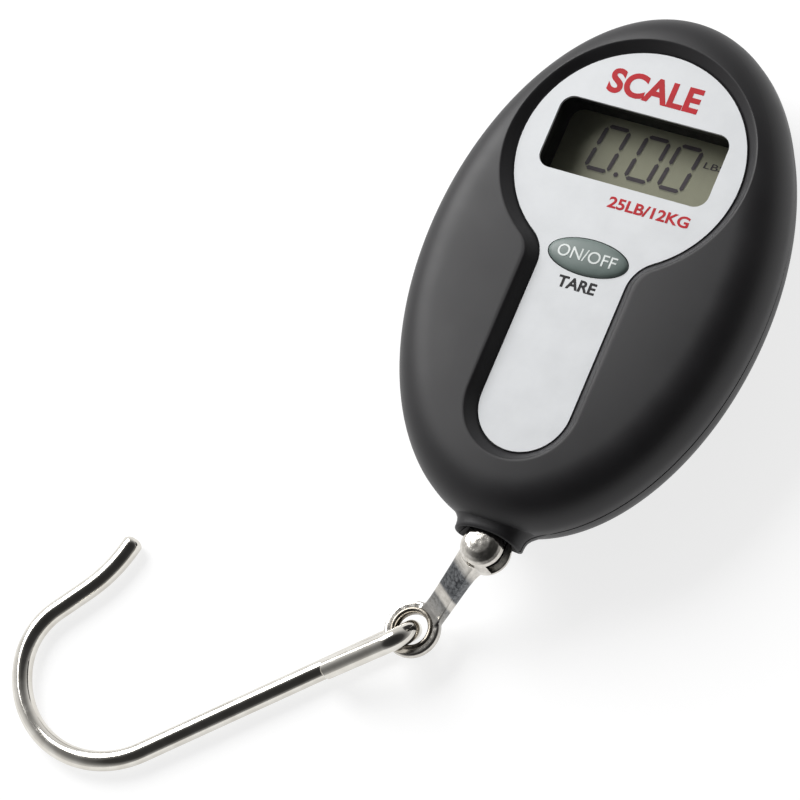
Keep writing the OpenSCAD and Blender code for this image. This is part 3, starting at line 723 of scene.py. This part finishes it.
RING_X, RING_Y = LINK_LENGTH * math.sin(LINK_TURN), PIN_Y - LINK_LENGTH * math.cos(LINK_TURN)
# One half of its section, from the bore over the lip to the tube's outside: (radius, height).
ROLLED_HALF = ((2.62, 0.6), (2.66, 0.74), (2.76, 0.86), (2.92, 0.93), (3.1, 0.95), (3.28, 0.91), (3.4, 0.82),
               (3.36, 0.76), (2.93, 0.75), (2.9, 0.7))
ROLLED = ((2.62, -0.6), *ROLLED_HALF, *((r, -z) for r, z in reversed(ROLLED_HALF[1:])))
eyelet = turned("rolled_eyelet", [(r, RING_Z + z) for r, z in ROLLED], (RING_X, RING_Y), 120, True)
shade(eyelet, 50)
# Nickel that has dulled where the wire rubs in it: greyer and half matt.
dulled_nickel, tree, shader, where = finish_of("dulled_nickel", "8f897f", 0.3, Metallic=1.0)
vary(tree, shader, where, ("7d776e", "9c968c"), 1.1, (0.2, 0.36))
coat(eyelet, dulled_nickel)
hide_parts("eyelet")
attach(eyelet, "eyelet")

# ---- hook ----
# One length of 3.2 mm steel wire, nickel plated. It is folded through the eyelet, its tail is
# welded down on the shank, and the other end is bent round and flared at the tip.

WIRE_R, FOLD_R, FOLD_LEAN, TAIL_SLOPE = 1.6, 3.2, math.radians(29), math.radians(16)
SHANK, BEND_R, BEND_TURN = 43.5, 15.4, math.radians(118.5)
THROAT_R, THROAT_TURN, LEG = 11.0, math.radians(51), 5.6
FLARE_R, FLARE_TURN, TIP = 23.0, math.radians(26), 0.7
HOOK_TURN = math.radians(-137)
HOOK_PLACE = Matrix.Translation(Vector((RING_X, RING_Y, RING_Z)) * MM) @ Matrix.Rotation(HOOK_TURN, 4, "Z")
UP = Vector((0, math.sin(FOLD_LEAN), math.cos(FOLD_LEAN)))
FOLD_CENTRE = Vector((0.15 + FOLD_R, 0, 0))


def fold_point(angle):
    return FOLD_CENTRE - FOLD_R * (math.sin(angle) * Vector((1, 0, 0)) + math.cos(angle) * UP)


def heading(angle):
    return Vector((math.cos(angle), math.sin(angle), 0))


def bend(path, start, way, radius, turn, count):
    """Adds an arc that turns right by an angle, or left if both are negative. Returns its end."""
    centre = start + radius * Vector((math.sin(way), -math.cos(way), 0))
    for k in range(1, count + 1):
        now = way - turn * k / count
        path.append(centre + radius * Vector((-math.sin(now), math.cos(now), 0)))
    return path[-1], way - turn


fold_last = math.pi + TAIL_SLOPE
tail_way = math.cos(fold_last) * Vector((1, 0, 0)) - math.sin(fold_last) * UP
WELD_SINK = 0.04                              # the tail's end sinks this far into the shank
tail_drop = FOLD_R * (1 + math.cos(TAIL_SLOPE)) - 2 * WIRE_R - WELD_SINK
tail_end = fold_point(fold_last) - tail_drop / math.sin(TAIL_SLOPE) * tail_way
path = [tail_end, tail_end + tail_way * 0.12]
path += [fold_point(fold_last).lerp(tail_end, 1 - k / 8) for k in range(1, 8)]
path += [fold_point(fold_last * (1 - k / 56)) for k in range(57)]
shank_start = fold_point(0)
path += [shank_start + heading(0) * SHANK * k / 24 for k in range(1, 25)]
spot, way = bend(path, path[-1], 0.0, BEND_R, BEND_TURN, 60)
spot, way = bend(path, spot, way, THROAT_R, THROAT_TURN, 24)
path += [spot + heading(way) * LEG * k / 4 for k in range(1, 5)]
spot, way = bend(path, path[-1], way, -FLARE_R, -FLARE_TURN, 16)
path += [spot + heading(way) * TIP * k for k in (0.5, 0.85, 1.0)]
thickness = [0.93, 1.0] + [1.0] * (len(path) - 5) + [0.82, 0.62, 0.46]


def wire_tree():
    """A round wire along a line of points, whose thickness follows an attribute."""
    tree = bpy.data.node_groups.new("wire_along_a_path", "GeometryNodeTree")
    face, sockets = tree.interface, {}
    face.new_socket("Geometry", in_out="INPUT", socket_type="NodeSocketGeometry")
    for name, kind in (("Wire radius", "Float"), ("Sides", "Int"), ("Material", "Material")):
        sockets[name] = face.new_socket(name, in_out="INPUT", socket_type="NodeSocket" + kind).identifier
    face.new_socket("Geometry", in_out="OUTPUT", socket_type="NodeSocketGeometry")
    given = add(tree, "NodeGroupInput")
    line = add(tree, "GeometryNodeMeshToCurve", {"Mesh": given.outputs["Geometry"]})
    section = add(tree, "GeometryNodeCurvePrimitiveCircle",
                  {"Resolution": given.outputs["Sides"], "Radius": given.outputs["Wire radius"]})
    width = add(tree, "GeometryNodeInputNamedAttribute", values={"Name": "thickness"}, data_type="FLOAT")
    wire = add(tree, "GeometryNodeCurveToMesh",
               {"Curve": line.outputs[0], "Profile Curve": section.outputs[0], "Scale": width.outputs[0]},
               {"Fill Caps": True})
    real = add(tree, "GeometryNodeRealizeInstances", {"Geometry": wire.outputs[0]})
    paint = add(tree, "GeometryNodeSetMaterial",
                {"Geometry": real.outputs[0], "Material": given.outputs["Material"]})
    add(tree, "NodeGroupOutput", {"Geometry": paint.outputs[0]})
    return tree, sockets


# Bright nickel plate on drawn wire: a warm mirror with slow waves of sheen.
bright_nickel, tree, shader, where = finish_of("bright_nickel_plate", "dcd8d0", 0.09, Metallic=1.0)
vary(tree, shader, where, ("d6d2ca", "e2dfd8"), 2.2, (0.05, 0.14))
grain(tree, shader, where, 0.9, 0.006, 0.3)

line = bpy.data.meshes.new("bent_wire_hook")
line.from_pydata([tuple(p * MM) for p in path], [(k, k + 1) for k in range(len(path) - 1)], [])
line.attributes.new("thickness", "FLOAT", "POINT").data.foreach_set("value", thickness)
hook = new_piece("bent_wire_hook", line)
tree, sockets = wire_tree()
modifier = hook.modifiers.new("wire", "NODES")
modifier.node_group = tree
modifier[sockets["Wire radius"]] = WIRE_R * MM
modifier[sockets["Sides"]] = 48
modifier[sockets["Material"]] = bright_nickel
settle(hook)
# The weld where the tail's end meets the shank: a low uneven bead.
BEAD_HALF, BEAD_LUMPS = (0.75, 1.12, 0.66), 0.09
bead = bmesh.new()
bmesh.ops.create_uvsphere(bead, u_segments=36, v_segments=20, radius=1.0)
bead_at = tail_end - UP * (WIRE_R * 0.62) - tail_way * 0.25
for vertex in bead.verts:
    lump = 1 + BEAD_LUMPS * noise.noise(vertex.co * 2.3)
    vertex.co = (Vector([c * half for c, half in zip(vertex.co, BEAD_HALF)]) * lump + bead_at) * MM
bead_mesh = bpy.data.meshes.new("weld_bead")
bead.to_mesh(bead_mesh)
bead.free()
combine(hook, new_piece("weld_bead", bead_mesh), "UNION")
clean(hook.data)
shade(hook, 40)
hook.data.transform(HOOK_PLACE)
coat(hook, bright_nickel)
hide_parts("hook")
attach(hook, "hook")

# ---- inner parts ----
# What sits between the covers keeps its own shape: the board with its screws, the load cell,
# the coin cell and its contacts, the switch and the display's holder. Each gets its real finish.

INNER = (
    # node, material name, two colours, roughness range, patch size, metallic, grain size, grain depth (mm)
    ("display_holder", "black_abs_holder", ("0c0c0d", "121213"), (0.6, 0.75), 3.0, 0.0, 0.25, 0.01),
    ("display_connectors", "zebra_rubber", ("c4a1a2", "cfb0b0"), (0.6, 0.7), 0.6, 0.0, 0.1, 0.01),
    ("circuit_board", "green_solder_mask", ("28603a", "32704a"), (0.25, 0.4), 3.0, 0.0, 0.5, 0.01),
    ("controller", "epoxy_blob", ("141416", "1c1c1f"), (0.2, 0.35), 1.5, 0.0, 0.4, 0.02),
    ("clock_crystal", "tinned_can", ("bfc1c3", "d2d4d6"), (0.2, 0.32), 1.0, 1.0, 0.3, 0.005),
    ("switch_body", "switch_nylon", ("37373a", "404044"), (0.5, 0.6), 2.0, 0.0, 0.2, 0.01),
    ("switch_plunger", "plunger_acetal", ("c5c2b3", "cfccbf"), (0.4, 0.5), 2.0, 0.0, 0.2, 0.008),
    ("board_screws", "zinc_plated_steel", ("b0b3b7", "c6c8cb"), (0.25, 0.4), 0.8, 1.0, 0.2, 0.006),
    ("load_cell_screws", "zinc_plated_steel_cap", ("b0b3b7", "c6c8cb"), (0.25, 0.4), 0.8, 1.0, 0.2, 0.006),
    ("load_cell", "machined_aluminium", ("aeb2b6", "bfc2c5"), (0.28, 0.42), 1.2, 1.0, 0.15, 0.008),
    ("strain_gauges", "polyimide_gauge_film", ("cf9a3c", "dfae52"), (0.3, 0.4), 0.5, 0.0, 0.1, 0.004),
    ("coin_cell", "stainless_can", ("c0c2c4", "cfd1d3"), (0.18, 0.3), 1.5, 1.0, 0.2, 0.004),
    ("contact_negative", "phosphor_bronze", ("c49d52", "d6b36a"), (0.25, 0.38), 1.0, 1.0, 0.2, 0.005),
    ("contact_positive", "phosphor_bronze_spring", ("c49d52", "d6b36a"), (0.25, 0.38), 1.0, 1.0, 0.2, 0.005),
    ("door_seal", "black_nitrile", ("131313", "1a1a1a"), (0.55, 0.7), 1.0, 0.0, 0.2, 0.01),
    ("case_screws", "dark_zinc_steel", ("85878a", "97999c"), (0.3, 0.45), 0.8, 1.0, 0.2, 0.008),
    ("swing_pin", "turned_steel", ("939597", "a7a9ab"), (0.22, 0.34), 0.8, 1.0, 0.15, 0.005))
for node, name, colours, roughness, patch, metallic, size, depth in INNER:
    material, tree, shader, where = finish_of(name, colours[0], roughness[0], Metallic=metallic)
    vary(tree, shader, where, colours, patch, roughness)
    grain(tree, shader, where, size, depth, 0.4)
    coat(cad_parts[node], material)
coat(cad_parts["display_panel"], reflector)

# The leads of the gauges: four PVC insulations, told apart by where they lie across the body.
pvc, tree, shader, where = finish_of("pvc_leads", "a02a22", 0.4)
across = add(tree, "ShaderNodeSeparateXYZ", {"Vector": where})
lead = add(tree, "ShaderNodeMapRange", {"Value": across.outputs["X"]},
           {"From Min": -4 * MM, "From Max": 4 * MM})
colour = add(tree, "ShaderNodeValToRGB", {"Fac": lead.outputs["Result"]})
colour.color_ramp.interpolation = "CONSTANT"
for position, code in ((0.0, "a82a20"), (0.25, "1f1f1e"), (0.5, "d6d6d1"), (0.75, "2f7a3d")):
    stop = colour.color_ramp.elements[0] if position == 0 else colour.color_ramp.elements.new(position)
    stop.color = linear(code)
colour.color_ramp.elements.remove(colour.color_ramp.elements[-1])
tree.links.new(colour.outputs["Color"], shader.inputs["Base Color"])
grain(tree, shader, where, 0.3, 0.01, 0.3)
coat(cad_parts["gauge_wires"], pvc)

# The lens: clear acrylic with a hard gloss, so thin that it only adds a faint reflection.
acrylic, tree, shader, where = finish_of("clear_acrylic", "101211", 0.05, Alpha=0.05)
grain(tree, shader, where, 3.0, 0.002, 0.2)
coat(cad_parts["display_window"], acrylic)

# ---- floor, light and camera ----
# A plain floor that glows, as white paper lit from below does, and a large soft light from the upper
# left, in a room that is pale all round and dark behind the camera.

FLOOR_HALF, FLOOR_Z = 3000, -0.05
floor_mesh = mesh_of("floor", [(x * FLOOR_HALF, y * FLOOR_HALF, FLOOR_Z)
                               for x, y in ((-1, -1), (1, -1), (1, 1), (-1, 1))], [(0, 1, 2, 3)])
paper = finish_of("white_paper", "9a9a9a", 0.9, Specular_IOR_Level=0.1,
                  Emission_Color=(1, 1, 1, 1), Emission_Strength=0.78)[0]
floor = new_piece("floor", floor_mesh, paper)


def soft_box(name, place, aim, size, power):
    lamp = bpy.data.lights.new(name, "AREA")
    lamp.shape, lamp.size, lamp.size_y, lamp.energy = "RECTANGLE", size[0], size[1], power
    light = bpy.data.objects.new(name, lamp)
    light.location = place
    light.rotation_euler = (Vector(aim) - light.location).to_track_quat("-Z", "Y").to_euler()
    bpy.context.scene.collection.objects.link(light)


soft_box("key_light", (-0.64, 0.34, 0.6), (0, 0, 0), (0.6, 0.6), 9.0)

world = bpy.data.worlds.new("studio")
world.use_nodes = True
tree = world.node_tree
tree.nodes.clear()
direction = add(tree, "ShaderNodeTexCoord")
CAMERA_SIDE = (0.4282, -0.2281, 0.8744)       # from the part towards the camera
towards = add(tree, "ShaderNodeVectorMath", {0: direction.outputs["Generated"]}, {1: CAMERA_SIDE},
              operation="DOT_PRODUCT")
room = add(tree, "ShaderNodeValToRGB", {"Fac": towards.outputs["Value"]})
room.color_ramp.elements[0].position, room.color_ramp.elements[1].position = 0.0, 1.0
room.color_ramp.elements[0].color = (0.85, 0.85, 0.85, 1)
room.color_ramp.elements[1].color = (0.03, 0.03, 0.03, 1)
for position, grey in ((0.3, 0.6), (0.52, 0.28), (0.75, 0.05)):
    room.color_ramp.elements.new(position).color = (grey, grey, grey, 1)
sky = add(tree, "ShaderNodeBackground", {"Color": room.outputs["Color"]}, {"Strength": 1.0})
add(tree, "ShaderNodeOutputWorld", {"Surface": sky.outputs[0]})
bpy.context.scene.world = world
bpy.context.scene.view_settings.view_transform = "Standard"

right, back = Vector((0.8645, 0.3853, -0.3229)), Vector(CAMERA_SIDE).normalized()
up = back.cross(right).normalized()
right = up.cross(back)
camera = bpy.data.objects.new("camera", bpy.data.cameras.new("camera"))
camera.matrix_world = (Matrix.Translation((0.3040878, -0.2015627, 0.6797643))
                       @ Matrix((right, up, back)).transposed().to_4x4())
camera.data.lens, camera.data.sensor_width, camera.data.clip_end = 225, 36, 10
bpy.context.scene.collection.objects.link(camera)
bpy.context.scene.camera = camera
